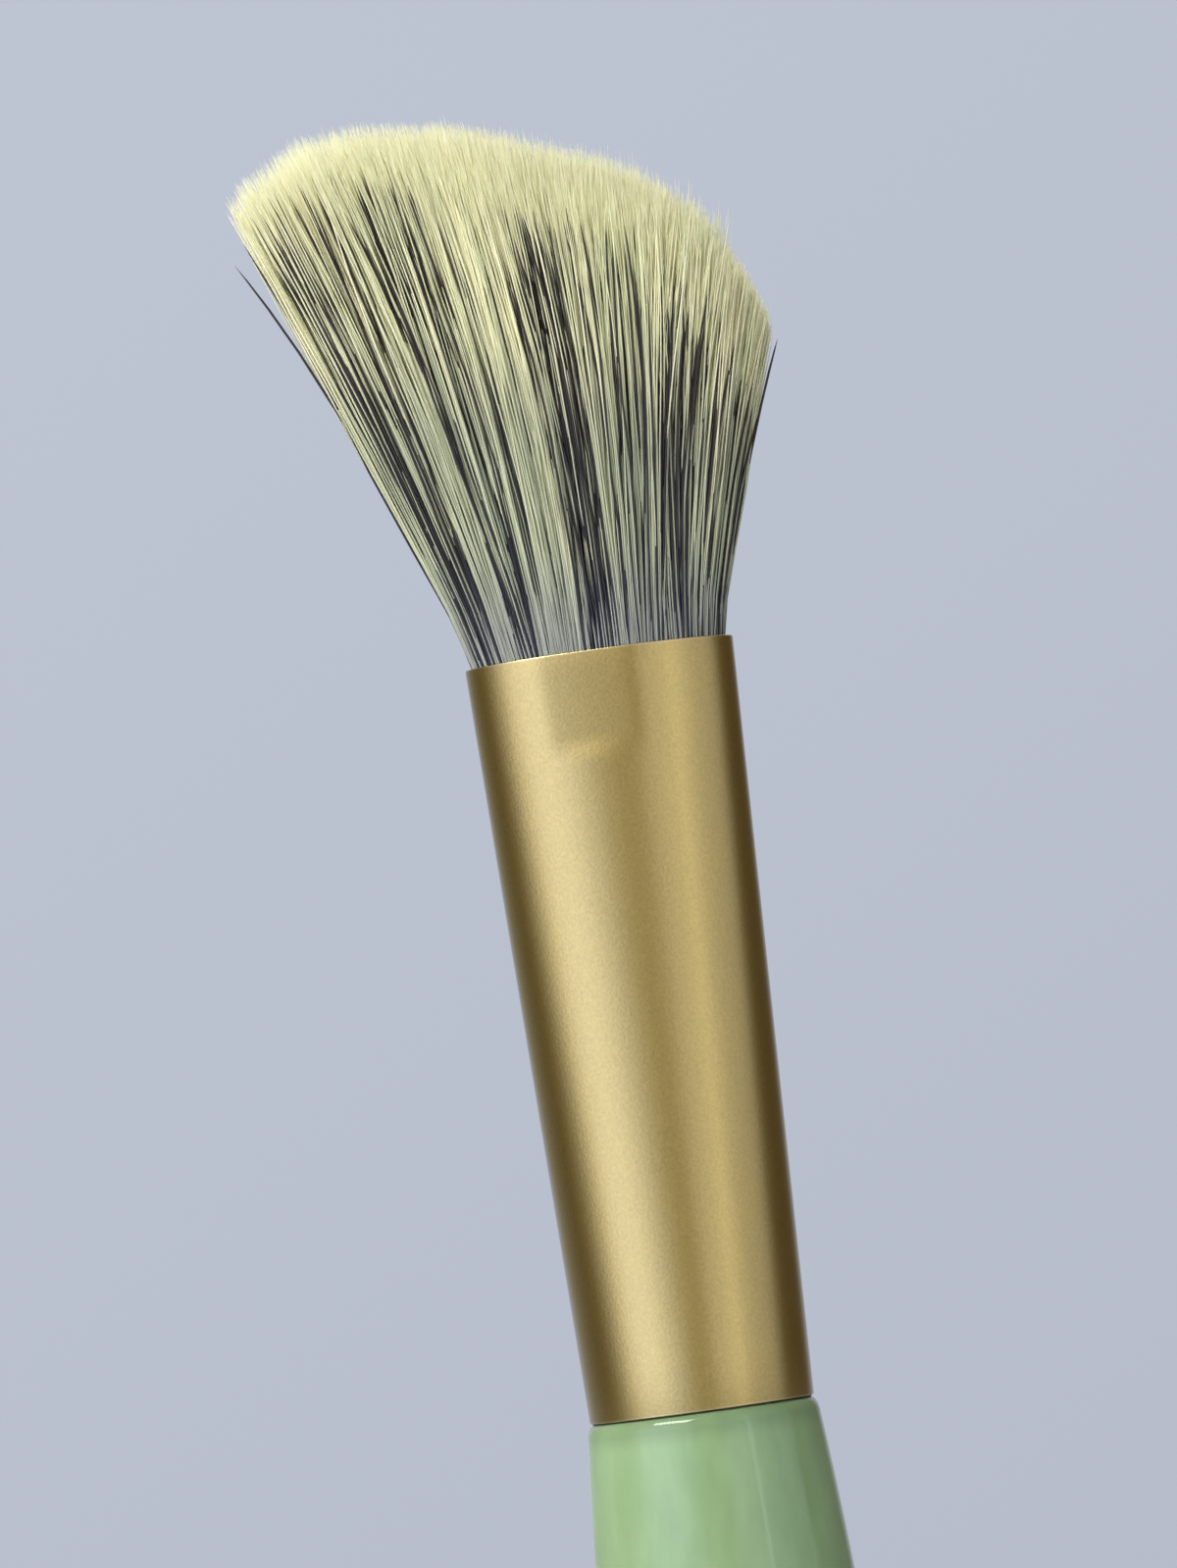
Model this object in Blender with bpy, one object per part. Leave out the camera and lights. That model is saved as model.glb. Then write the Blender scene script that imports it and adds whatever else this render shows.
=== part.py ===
"""Angled blush brush: a turned handle, pressed ferrule, glue, epoxy, binding thread and two-colour filaments.

Frame: metres, +Z along the brush from the butt of the handle to the filament tips, and the origin at the centre
of the flat on the butt. +X is the short side of the slanted head, -X its long side, and -Y the broad face.
"""

import math
import random

import bmesh
import bpy
from mathutils import Matrix, Vector
from mathutils.geometry import interpolate_bezier

MM = 0.001

# Handle: a turned body that swells below the ferrule and narrows to a flat butt
HANDLE_LENGTH = 105.0 * MM
SHOULDER_PROUD = 0.24 * MM
SHOULDER_ROUNDING = 0.42 * MM
BELLY_RADIUS = 7.5 * MM
BELLY_DROP = 31.0 * MM
BUTT_RADIUS = 4.9 * MM
BUTT_ROUNDING = 1.2 * MM
TENON_CHAMFER = 0.8 * MM
GLUE_COLLAR = 3.0 * MM
GLUE_STEP = 0.4 * MM
GLUE_THICKNESS = 0.5 * MM
# Pulls of the two curves that make the handle's side, as shares of each curve's height
NECK_SPLAY_SHARE = 0.1
NECK_PULL_SHARE = 0.148
BELLY_PULL_SHARE = 0.525
TAPER_PULL_SHARE = 0.36
BUTT_SPLAY_SHARE = 0.02

# Ferrule: a thin tube, round at the handle and pressed oval at the mouth
FERRULE_LENGTH = 40.6 * MM
FERRULE_RADIUS = 6.0 * MM
MOUTH_HALF_WIDTH = 7.2 * MM
MOUTH_HALF_DEPTH = 4.6 * MM
FERRULE_WALL = 0.35 * MM
LIP_ROUNDING = 0.07 * MM
LIP_ANGLE = math.radians(60)
# The flat that the jaws leave on each broad face, from the mouth down
PRESS_LAND = 5.2 * MM
PRESS_BLEND = 1.8 * MM
PRESS_DEPTH = 0.25 * MM

# Fits between the pieces
SEAT_GAP = 0.25 * MM
BOND_GAP = 0.3 * MM
ZONE_GAP = 0.25 * MM

# Filament roots, in the mouth: two interlocked combs that carry the strands, then the epoxy that holds them
STRAND_BASE_DEPTH = 0.5 * MM
COMB_THICKNESS = 2.5 * MM
SPINE_WIDTH = 0.7 * MM
COMB_END_SHARE = 0.965
# How far the combs' teeth bend aside on their way to the front and the back, and how far their rows of cells
# stagger, as shares
TOOTH_BEND_SHARE = 0.3
STAGGER_SHARE = 0.22
PLUG_LENGTH = 13.0 * MM
PLUG_RIM = 1.2 * MM
PLUG_DISH = 0.7 * MM
HOLLOW_LENGTH = 5.5 * MM

# Binding thread, wound in a groove round the bonded roots
THREAD_DIAMETER = 0.45 * MM
THREAD_SPACING = 0.5 * MM
THREAD_TURNS = 4
THREAD_POINTS = 24
GROOVE_DROP = 4.0 * MM
GROOVE_SLOPE = 0.3 * MM

# Slanted head: the tallest tips above the mouth, and how the filaments lean out as shares of their height
HEAD_LENGTH = 29.7 * MM
EASE_LENGTH = 0.8 * MM
AXIS_LEAN_SHARE = -0.06
TOE_LEAN_SHARE = 0.43
HEEL_LEAN_SHARE = 0.455
FACE_LEAN_SHARE = 0.18
TOE_LEAN_POWER = 1.6
HEEL_LEAN_POWER = 1.1
DOME_SHARE = 0.2
UNEVEN_SHARE = 0.03
DARK_TIP_SHARE = 0.9
# Tip height as a share of HEAD_LENGTH, at places across the mouth as shares of its half width
TIP_HEIGHT_SHARES = (
    (-0.9, 0.86),
    (-0.8, 0.93),
    (-0.65, 0.985),
    (-0.5, 1.0),
    (-0.25, 0.985),
    (0.0, 0.95),
    (0.25, 0.9),
    (0.45, 0.835),
    (0.6, 0.775),
    (0.75, 0.665),
    (0.9, 0.52),
)

# Columns of cells in each zone across the mouth, long side first: pale zones lie round the dark ones
PALE_COLUMNS = (2, 4, 4, 3, 3)
DARK_COLUMNS = (1, 2, 2, 1)
CELL_ROWS = 8
# Each ring of a strand: how far up the strand it lies, and how much of its cell it fills, as shares
STRAND_RING_SHARES = ((0.0, 0.66), (0.4, 0.78), (0.82, 0.72))

HANDLE_STEPS = 44
FERRULE_STEPS = 48
HIDDEN_STEPS = 32
CURVE_POINTS = 10
ROUNDING_POINTS = 4
BLEND_RINGS = 4
SMOOTH_ANGLE = math.radians(35)
WELD = 0.0005 * MM

# Heights above the ferrule's lower end
COMB_TOP = FERRULE_LENGTH - STRAND_BASE_DEPTH
COMB_BOTTOM = COMB_TOP - COMB_THICKNESS
PLUG_TOP = COMB_BOTTOM - ZONE_GAP
PLUG_BOTTOM = PLUG_TOP - PLUG_LENGTH
TENON_TOP = PLUG_BOTTOM - HOLLOW_LENGTH

# Heights above the butt
FERRULE_Z = HANDLE_LENGTH + SEAT_GAP


def finish(name, colour, roughness, metallic=0.0):
    """A plain moulded, anodised or glued finish."""
    material = bpy.data.materials.new(name)
    material.use_nodes = True
    shader = material.node_tree.nodes["Principled BSDF"]
    shader.inputs["Base Color"].default_value = (*colour, 1.0)
    shader.inputs["Roughness"].default_value = roughness
    shader.inputs["Metallic"].default_value = metallic
    return material


def add_piece(name, bm, material, brush, height):
    """The finished mesh as an object at this height on the brush's axis."""
    bmesh.ops.recalc_face_normals(bm, faces=bm.faces)
    mesh = bpy.data.meshes.new(name)
    bm.to_mesh(mesh)
    bm.free()
    mesh.shade_smooth()
    mesh.set_sharp_from_angle(angle=SMOOTH_ANGLE)
    mesh.materials.append(material)
    piece = bpy.data.objects.new(name, mesh)
    place(piece, brush, height)
    return piece


def place(piece, brush, height):
    piece.location.z = height
    piece.parent = brush
    bpy.context.scene.collection.objects.link(piece)


# The ferrule's section at a height above its lower end, which the tenon, glue, epoxy and roots all follow


def half_width(height):
    return FERRULE_RADIUS + (MOUTH_HALF_WIDTH - FERRULE_RADIUS) * height / FERRULE_LENGTH


def half_depth(height):
    return FERRULE_RADIUS + (MOUTH_HALF_DEPTH - FERRULE_RADIUS) * height / FERRULE_LENGTH


def flat_depth(height):
    """Half the distance between the two broad faces, where the jaws have pressed them flat near the mouth."""
    share = (height - FERRULE_LENGTH + PRESS_LAND) / PRESS_BLEND + 1 / 2
    share = min(max(share, 0.0), 1.0)
    return half_depth(height) - PRESS_DEPTH * share * share * (3 - 2 * share)


def section_point(height, inset, angle):
    """The point at this angle on the ferrule's outer section, drawn in by inset."""
    flat = flat_depth(height) - inset
    along = math.sin(angle) * (half_depth(height) - inset)
    return Vector((math.cos(angle) * (half_width(height) - inset), min(max(along, -flat), flat), height))


def section_reach(across, slant, height, inset):
    """How far the drawn-in section reaches along Y, on a line from this X that slants by this share of Y."""
    wide = half_width(height) - inset
    deep = half_depth(height) - inset
    square = (slant / wide) ** 2 + 1 / deep**2
    linear = across * slant / wide**2
    oval = (math.sqrt(linear**2 + square * (1 - (across / wide) ** 2)) - linear) / square
    return min(oval, flat_depth(height) - inset)


# Building blocks


def turned(profile, steps, ring=False):
    """A turned solid from (radius, height) points: a ring, or a body whose two open ends are faced flat."""
    bm = bmesh.new()
    corners = [bm.verts.new((radius, 0, height)) for radius, height in profile]
    runs = list(zip(corners, corners[1:]))
    if ring:
        runs.append((corners[-1], corners[0]))
    edges = [bm.edges.new(run) for run in runs]
    bmesh.ops.spin(
        bm, geom=corners + edges, cent=(0, 0, 0), axis=(0, 0, 1), angle=math.tau, steps=steps, use_merge=True
    )
    bmesh.ops.remove_doubles(bm, verts=bm.verts, dist=WELD)
    if not ring:
        bmesh.ops.holes_fill(bm, edges=bm.edges, sides=0)
    return bm


def oval_column(heights, inset_at, steps, capped):
    """A column with a ring at each height, pressed to the ferrule's section drawn in by inset_at(height)."""
    bm = bmesh.new()
    bottom, top = heights[0], heights[-1]
    bmesh.ops.create_cone(
        bm,
        cap_ends=capped,
        segments=steps,
        radius1=FERRULE_RADIUS,
        radius2=FERRULE_RADIUS,
        depth=top - bottom,
        matrix=Matrix.Translation((0, 0, (top + bottom) / 2)),
    )
    for height in heights[1:-1]:
        everything = bm.verts[:] + bm.edges[:] + bm.faces[:]
        bmesh.ops.bisect_plane(bm, geom=everything, dist=WELD, plane_co=(0, 0, height), plane_no=(0, 0, 1))
    for corner in bm.verts:
        height = corner.co.z
        corner.co = section_point(height, inset_at(height), math.atan2(corner.co.y, corner.co.x))
    return bm


def curve_side(start, start_pull, end_pull, end, points):
    """Points along a Bezier curve between two (radius, height) points, each pulled by its own offset."""
    first, last = Vector(start), Vector(end)
    path = interpolate_bezier(first, first + Vector(start_pull), last + Vector(end_pull), last, points)
    return [tuple(point) for point in path]


def rounding(centre, radius, start_angle, end_angle):
    """Points round an arc in the profile's plane."""
    turn = (end_angle - start_angle) / ROUNDING_POINTS
    angles = [start_angle + turn * step for step in range(ROUNDING_POINTS + 1)]
    return [(centre[0] + radius * math.cos(a), centre[1] + radius * math.sin(a)) for a in angles]


# Handle and its glue


def tenon_radius(height):
    """The spigot clears the bore's narrow way at this height above the shoulder."""
    return half_depth(height - SEAT_GAP) - FERRULE_WALL - BOND_GAP


def waist_depth():
    return GLUE_THICKNESS + BOND_GAP


def tenon_height():
    return TENON_TOP + SEAT_GAP


def make_handle(brush):
    shoulder = FERRULE_RADIUS + SHOULDER_PROUD
    belly_height = HANDLE_LENGTH - BELLY_DROP
    neck_height = HANDLE_LENGTH - SHOULDER_ROUNDING
    neck_run = neck_height - belly_height
    taper_run = belly_height - BUTT_ROUNDING
    butt = rounding((BUTT_RADIUS - BUTT_ROUNDING, BUTT_ROUNDING), BUTT_ROUNDING, -math.pi / 2, 0)
    lower = curve_side(
        butt[-1],
        (BUTT_SPLAY_SHARE * TAPER_PULL_SHARE * taper_run, TAPER_PULL_SHARE * taper_run),
        (0, -TAPER_PULL_SHARE * taper_run),
        (BELLY_RADIUS, belly_height),
        CURVE_POINTS,
    )
    upper = curve_side(
        (BELLY_RADIUS, belly_height),
        (0, BELLY_PULL_SHARE * neck_run),
        (NECK_SPLAY_SHARE * NECK_PULL_SHARE * neck_run, -NECK_PULL_SHARE * neck_run),
        (shoulder, neck_height),
        CURVE_POINTS,
    )
    ledge = rounding((shoulder - SHOULDER_ROUNDING, neck_height), SHOULDER_ROUNDING, 0, math.pi / 2)
    profile = butt + lower[1:] + upper[1:] + ledge[1:] + tenon_profile()
    add_piece("handle", turned(profile, HANDLE_STEPS), finish("jade_acrylic", (0.33, 0.52, 0.26), 0.12), brush, 0)


def tenon_profile():
    """The spigot above the shoulder, waisted between two collars for the glue, with a chamfered end."""
    top = tenon_height()
    waist_start = GLUE_COLLAR
    waist_end = top - GLUE_COLLAR
    heights_and_cuts = (
        (0, 0),
        (waist_start, 0),
        (waist_start + GLUE_STEP, waist_depth()),
        (waist_end - GLUE_STEP, waist_depth()),
        (waist_end, 0),
        (top - TENON_CHAMFER, 0),
        (top, TENON_CHAMFER),
    )
    return [(tenon_radius(height) - cut, HANDLE_LENGTH + height) for height, cut in heights_and_cuts]


def make_tenon_glue(brush):
    """The glue that fills the tenon's waist."""
    low = GLUE_COLLAR + GLUE_STEP + BOND_GAP
    high = tenon_height() - low
    profile = [
        (tenon_radius(low) - GLUE_THICKNESS, low),
        (tenon_radius(low), low),
        (tenon_radius(high), high),
        (tenon_radius(high) - GLUE_THICKNESS, high),
    ]
    bm = turned(profile, HIDDEN_STEPS, ring=True)
    add_piece("tenon_adhesive", bm, finish("amber_glue", (0.45, 0.27, 0.08), 0.35), brush, HANDLE_LENGTH)


# Ferrule


def make_ferrule(brush):
    blend_start = FERRULE_LENGTH - PRESS_LAND - PRESS_BLEND / 2
    blend = [blend_start + PRESS_BLEND * step / BLEND_RINGS for step in range(BLEND_RINGS + 1)]
    bm = oval_column([0, *blend, FERRULE_LENGTH], lambda height: 0, FERRULE_STEPS, capped=False)
    ferrule = add_piece("ferrule", bm, finish("gold_anodised", (0.72, 0.54, 0.27), 0.32, 1.0), brush, FERRULE_Z)
    wall = ferrule.modifiers.new("wall", "SOLIDIFY")
    wall.thickness = FERRULE_WALL
    wall.offset = -1
    wall.use_even_offset = True
    lips = ferrule.modifiers.new("lips", "BEVEL")
    lips.width = LIP_ROUNDING
    lips.segments = 1
    lips.limit_method = "ANGLE"
    lips.angle_limit = LIP_ANGLE


# Epoxy and binding thread


def thread_pitch():
    return THREAD_DIAMETER + THREAD_SPACING


def groove_depth():
    return BOND_GAP + THREAD_DIAMETER


def groove_top():
    return PLUG_TOP - GROOVE_DROP


def groove_bottom():
    """The groove holds every turn, with the fit's clearance at each end."""
    return groove_top() - THREAD_TURNS * thread_pitch() - THREAD_DIAMETER - 2 * BOND_GAP


def make_epoxy(brush):
    """The block that holds the roots, with a groove for the thread and a shrunken hollow in its lower face."""
    fit = FERRULE_WALL + BOND_GAP
    floor_low, floor_high = groove_bottom(), groove_top()
    heights = [PLUG_BOTTOM, floor_low - GROOVE_SLOPE, floor_low, floor_high, floor_high + GROOVE_SLOPE, PLUG_TOP]

    def inset_at(height):
        return fit + (groove_depth() if floor_low - WELD <= height <= floor_high + WELD else 0)

    bm = oval_column(heights, inset_at, HIDDEN_STEPS, capped=True)
    base = min(bm.faces, key=lambda face: face.calc_center_median().z)
    bmesh.ops.inset_individual(bm, faces=[base], thickness=PLUG_RIM, use_even_offset=True)
    bmesh.ops.translate(bm, verts=base.verts, vec=(0, 0, PLUG_DISH))
    add_piece("root_epoxy", bm, finish("clear_epoxy", (0.62, 0.55, 0.36), 0.3), brush, FERRULE_Z)


def thread_path():
    """A helix round the groove's floor, one turn for each pitch."""
    inset = FERRULE_WALL + BOND_GAP + THREAD_DIAMETER / 2
    low = groove_bottom() + BOND_GAP + THREAD_DIAMETER / 2
    turn = math.tau / THREAD_POINTS
    path = []
    for step in range(THREAD_TURNS * THREAD_POINTS + 1):
        height = low + thread_pitch() * step / THREAD_POINTS
        path.append(section_point(height, inset, turn * step))
    return path


def least_gap(path, diameter, apart):
    """The narrowest space between stretches of the path that lie at least this many points apart."""
    pairs = ((a, b) for i, a in enumerate(path) for b in path[i + apart :])
    return min((a - b).length for a, b in pairs) - diameter


def make_thread(brush):
    path = thread_path()
    curve = bpy.data.curves.new("binding_thread", "CURVE")
    curve.dimensions = "3D"
    curve.bevel_depth = THREAD_DIAMETER / 2
    curve.bevel_resolution = 1
    curve.use_fill_caps = True
    spline = curve.splines.new("POLY")
    spline.points.add(len(path) - 1)
    for point, place_at in zip(spline.points, path):
        point.co = (*place_at, 1.0)
    curve.materials.append(finish("waxed_thread", (0.62, 0.58, 0.5), 0.75))
    place(bpy.data.objects.new("binding_thread", curve), brush, FERRULE_Z)
    gap = least_gap(path, THREAD_DIAMETER, THREAD_POINTS // 2)
    print(f"binding_thread: least gap between turns {gap / MM:.2f} mm")


# Filaments


def between(table, place_at):
    """Reads a table of (place, value) rows along straight lines."""
    for (low, low_value), (high, high_value) in zip(table, table[1:]):
        if place_at <= high:
            share = max((place_at - low) / (high - low), 0)
            return low_value + (high_value - low_value) * share
    return table[-1][1]


def lean(across):
    """Sideways drift for each unit of height, from the long side (-1) to the short side (+1)."""
    if across < 0:
        return AXIS_LEAN_SHARE - TOE_LEAN_SHARE * (-across) ** TOE_LEAN_POWER
    return AXIS_LEAN_SHARE + HEEL_LEAN_SHARE * across**HEEL_LEAN_POWER


def fan(root, rise):
    """Where a filament rooted at this point has got to at this height above the mouth.

    At any one height every root has its own place, so filaments that fill separate cells never cross.
    """
    run = rise * rise / (rise + EASE_LENGTH) if rise > 0 else 0
    across = root.x / MOUTH_HALF_WIDTH
    along = root.y / MOUTH_HALF_DEPTH
    sideways = Vector((lean(across), FACE_LEAN_SHARE * along, 0)) * run
    return Vector((root.x, root.y, FERRULE_LENGTH + rise)) + sideways


def tip_rise(root, chance):
    """Height of a tip above the mouth: slanted across, domed from front to back, a little uneven."""
    along = root.y / MOUTH_HALF_DEPTH
    dome = 1 - DOME_SHARE * along * along
    uneven = 1 - UNEVEN_SHARE * chance.random()
    return HEAD_LENGTH * between(TIP_HEIGHT_SHARES, root.x / MOUTH_HALF_WIDTH) * dome * uneven


def zone_columns():
    """Each column across the mouth as (left edge, right edge, kind): pale, dark, or the gap between zones."""
    counts = [("pale", PALE_COLUMNS[0])]
    for dark, pale in zip(DARK_COLUMNS, PALE_COLUMNS[1:]):
        counts += [("gap", 1), ("dark", dark), ("gap", 1), ("pale", pale)]
    reach = (half_width(COMB_BOTTOM) - FERRULE_WALL - BOND_GAP) * COMB_END_SHARE
    gaps = 2 * len(DARK_COLUMNS)
    width = (2 * reach - gaps * ZONE_GAP) / (sum(PALE_COLUMNS) + sum(DARK_COLUMNS))
    columns = []
    left = -reach
    for kind, count in counts:
        for _ in range(count):
            right = left + (ZONE_GAP if kind == "gap" else width)
            columns.append((left, right, kind))
            left = right
    return columns


def comb_y(x, row, other_span):
    """Y of a row's edge in the column from this X, for a comb whose spine is its last row, at the back."""
    reach = section_reach(x, TOOTH_BEND_SHARE, FERRULE_LENGTH, FERRULE_WALL + BOND_GAP)
    spine = reach - SPINE_WIDTH
    other_spine = other_span[0] <= x <= other_span[1]
    front = ZONE_GAP - spine if other_spine else -reach
    if row == CELL_ROWS:
        return reach
    return front + (spine - front) * row / (CELL_ROWS - 1)


def comb_slice(kind):
    """The slice of bonded roots that carries one colour: teeth between the other colour's, joined by a spine.

    Returns the mesh, the faces that strands grow from and the bare ones. The dark spine runs along the front and
    the pale one along the back, so the two slide together like combs. The teeth bend like chevrons, so that no
    view shows through between two zones.
    """
    columns = zone_columns()
    spans = {}
    for name in ("pale", "dark"):
        own = [column for column in columns if column[2] == name]
        spans[name] = (own[0][0], own[-1][1])
    other = "dark" if kind == "pale" else "pale"
    side = 1 if kind == "pale" else -1

    bm = bmesh.new()
    bmesh.ops.create_grid(bm, x_segments=len(columns), y_segments=CELL_ROWS, size=1 / 2)
    cells, bare, spare = [], [], []
    for face in bm.faces:
        centre = face.calc_center_median()
        left, right, column_kind = columns[int((centre.x + 1 / 2) * len(columns))]
        in_spine_row = int((centre.y + 1 / 2) * CELL_ROWS) == CELL_ROWS - 1
        if column_kind == kind:
            cells.append(face)
        elif in_spine_row and spans[kind][0] <= left and right <= spans[kind][1]:
            bare.append(face)
        else:
            spare.append(face)
    for corner in bm.verts:
        column = round((corner.co.x + 1 / 2) * len(columns))
        row = round((corner.co.y + 1 / 2) * CELL_ROWS)
        x = columns[column][0] if column < len(columns) else columns[-1][1]
        y = side * comb_y(x, row, spans[other])
        bend = TOOTH_BEND_SHARE * abs(y)
        corner.co = (x + bend + stagger(columns, column, row), y, COMB_TOP)
    bmesh.ops.delete(bm, geom=spare, context="FACES")
    return bm, cells, bare


def stagger(columns, column, row):
    """Shifts every other row of cells sideways, inside a zone only, so that strands cover each other's gaps."""
    if column in (0, len(columns)) or columns[column - 1][2] != columns[column][2]:
        return 0
    width = columns[column][1] - columns[column][0]
    return width * STAGGER_SHARE * (1 if row % 2 else -1)


def deepen(bm, top_faces):
    """Gives the slice its thickness below the faces that carry strands."""
    made = bmesh.ops.extrude_face_region(bm, geom=top_faces, use_keep_orig=True)["geom"]
    lower = [item for item in made if isinstance(item, bmesh.types.BMVert)]
    bmesh.ops.translate(bm, verts=lower, vec=(0, 0, -COMB_THICKNESS))
    underside = [item for item in made if isinstance(item, bmesh.types.BMFace)]
    bmesh.ops.dissolve_faces(bm, faces=underside, use_verts=True)


def grow_strand(bm, cell, tip_share, chance):
    """One filament, raised ring by ring from its cell of the slice and drawn to a point."""
    corners = [corner.co.copy() for corner in cell.verts]
    centre = cell.calc_center_median()
    height = tip_rise(centre, chance) * tip_share + STRAND_BASE_DEPTH
    bmesh.ops.inset_individual(bm, faces=[cell], thickness=0)
    tip = cell
    for rise_share, fill_share in STRAND_RING_SHARES:
        if rise_share > 0:
            tip = bmesh.ops.extrude_discrete_faces(bm, faces=[tip])["faces"][0]
        for ring_corner, corner in zip(tip.verts, corners):
            root = centre.lerp(corner, fill_share)
            ring_corner.co = fan(root, rise_share * height - STRAND_BASE_DEPTH)
    point = bmesh.ops.poke(bm, faces=[tip])["verts"][0]
    point.co = fan(centre, height - STRAND_BASE_DEPTH)


def make_filaments(kind, colour, tip_share, brush, seed):
    """One colour of the head: its comb of bonded roots, with strands that end at a share of the head's height."""
    chance = random.Random(seed)
    bm, cells, bare = comb_slice(kind)
    deepen(bm, cells + bare)
    roots = bmesh.ops.triangulate(bm, faces=cells, quad_method="ALTERNATE")["faces"]
    for cell in roots:
        grow_strand(bm, cell, tip_share, chance)
    print(f"{kind}_filaments: {len(roots)} strands")
    add_piece(f"{kind}_filaments", bm, finish(f"{kind}_filament", colour, 0.45), brush, FERRULE_Z)


def main():
    for old in list(bpy.data.objects):
        bpy.data.objects.remove(old, do_unlink=True)
    brush = bpy.data.objects.new("angled_blush_brush", None)
    bpy.context.scene.collection.objects.link(brush)
    make_handle(brush)
    make_tenon_glue(brush)
    make_ferrule(brush)
    make_epoxy(brush)
    make_thread(brush)
    make_filaments("pale", (0.62, 0.65, 0.42), 1, brush, 11)
    make_filaments("dark", (0.02, 0.02, 0.018), DARK_TIP_SHARE, brush, 12)


main()
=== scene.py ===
"""Looks of the angled blush brush: jade handle, gold ferrule and a fanned head of pale and dark filaments.

Everything is in metres in the part's own frame: +Z runs from the butt of the handle to the filament tips, -X
is the head's long side, and -Y the broad face that the camera sees.
"""

import math

import bmesh
import bpy
import numpy as np
from mathutils import Matrix, Vector
from mathutils.geometry import interpolate_bezier


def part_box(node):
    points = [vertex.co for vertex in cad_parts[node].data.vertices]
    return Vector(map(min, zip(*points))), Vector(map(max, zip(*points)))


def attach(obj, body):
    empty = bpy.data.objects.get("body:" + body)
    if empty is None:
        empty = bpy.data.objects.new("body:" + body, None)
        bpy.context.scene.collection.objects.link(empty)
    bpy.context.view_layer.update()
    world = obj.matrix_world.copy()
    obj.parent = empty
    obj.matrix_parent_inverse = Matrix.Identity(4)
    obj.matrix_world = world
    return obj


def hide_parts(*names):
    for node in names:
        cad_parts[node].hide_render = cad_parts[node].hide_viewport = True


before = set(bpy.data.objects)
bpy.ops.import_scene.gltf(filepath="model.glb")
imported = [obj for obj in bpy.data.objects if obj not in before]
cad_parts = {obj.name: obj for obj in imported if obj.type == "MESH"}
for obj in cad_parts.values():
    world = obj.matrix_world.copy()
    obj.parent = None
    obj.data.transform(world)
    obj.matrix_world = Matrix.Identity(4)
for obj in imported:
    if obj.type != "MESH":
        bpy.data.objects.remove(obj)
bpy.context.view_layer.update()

bl_info = {
    "name": "Angled blush brush",
    "version": (1, 0, 0),
    "blender": (4, 5, 0),
    "location": "3D View > Sidebar > Blush brush",
    "description": "Dresses the packed brush with its handle, ferrule, filaments and studio",
    "category": "Object",
}

MM = 0.001
# Edges sharper than this aren't shaded smooth, and corners nearer than this are one
SMOOTH_ANGLE = math.radians(35)
WELD = 0.0005 * MM

# Handle, as turned
SHOULDER_ROUNDING = 0.5 * MM
SHOULDER_DROP = 0.85 * MM
SHOULDER_RADIUS = 6.24 * MM
BELLY_RADIUS = 7.5 * MM
BELLY_HEIGHT = 74.0 * MM
BUTT_RADIUS = 4.9 * MM
BUTT_ROUNDING = 1.2 * MM
NECK_SPLAY_SHARE = 0.1
NECK_PULL_SHARE = 0.148
BELLY_PULL_SHARE = 0.525
TAPER_PULL_SHARE = 0.36
BUTT_SPLAY_SHARE = 0.02
SPIGOT_RADIUS = 5.3 * MM
SPIGOT_TIP_RADIUS = 4.7 * MM
SPIGOT_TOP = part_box("handle")[1].z
SPIGOT_CHAMFER = 0.8 * MM
SIDE_POINTS = 36
BUTT_POINTS = 10
LEDGE_POINTS = 14
# The shade that the ferrule throws on the top of the shoulder
SEAT_SHADE_DEPTH = 1.7 * MM
SEAT_SHADE = 0.35

# Ferrule, round at the handle and pressed oval at the mouth
FERRULE_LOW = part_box("ferrule")[0].z
FERRULE_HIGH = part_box("ferrule")[1].z
FERRULE_LENGTH = FERRULE_HIGH - FERRULE_LOW
FERRULE_RADIUS = 6.0 * MM
MOUTH_HALF_WIDTH = 7.2 * MM
MOUTH_HALF_DEPTH = 4.6 * MM
FERRULE_WALL = 0.35 * MM
LIP_ROUNDING = 0.05 * MM
LIP_ANGLE = math.radians(60)
# The flats that the jaws leave on the broad faces, from the mouth down, turned a little about the axis
PRESS_LAND = 5.2 * MM
PRESS_BLEND = 1.7 * MM
PRESS_DEPTH = 0.24 * MM
PRESS_FIRMNESS = 0.7
PRESS_SOFTNESS = 0.1 * MM
PRESS_TILT = 0.08
# Rings of faces in the plain body, in the step down to the flats, and along the flats
BODY_RINGS = 12
BLEND_RINGS = 14
LAND_RINGS = 4
# The cut lips are brighter than the anodised skin, from this far inside each end
LIP_COLOUR = (0.6, 0.44, 0.17)
LIP_FADE_START = 0.13 * MM
LIP_FADE_END = 0.05 * MM

# Fine seam between the handle's shoulder and the ferrule, and the bead of set glue in it, whose near-black
# colour is partly glue and partly painted shade in the seam
SEAM = 0.07 * MM
SHOULDER_TOP = FERRULE_LOW - SEAM
BEAD_RADIUS = 5.88 * MM
BEAD_DEPTH = 0.45 * MM
BEAD_HEIGHT = 0.05 * MM

# Fanned head
HEAD_LENGTH = 29.7 * MM
EASE_LENGTH = 0.8 * MM
LEAN_HALF_WIDTH = 7.8 * MM
AXIS_LEAN = -0.06
TOE_LEAN = 0.418
HEEL_LEAN = 0.44
FACE_LEAN = 0.145
TOE_LEAN_POWER = 1.6
HEEL_LEAN_POWER = 1.1
DOME_SHARE = 0.2
DOME_POWER = 2.6
TIP_PLACES = (-0.9, -0.8, -0.65, -0.5, -0.25, 0.0, 0.25, 0.45, 0.6, 0.75, 0.9)
TIP_SHARES = (0.86, 0.93, 0.985, 1.0, 0.985, 0.95, 0.9, 0.832, 0.757, 0.65, 0.52)

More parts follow.
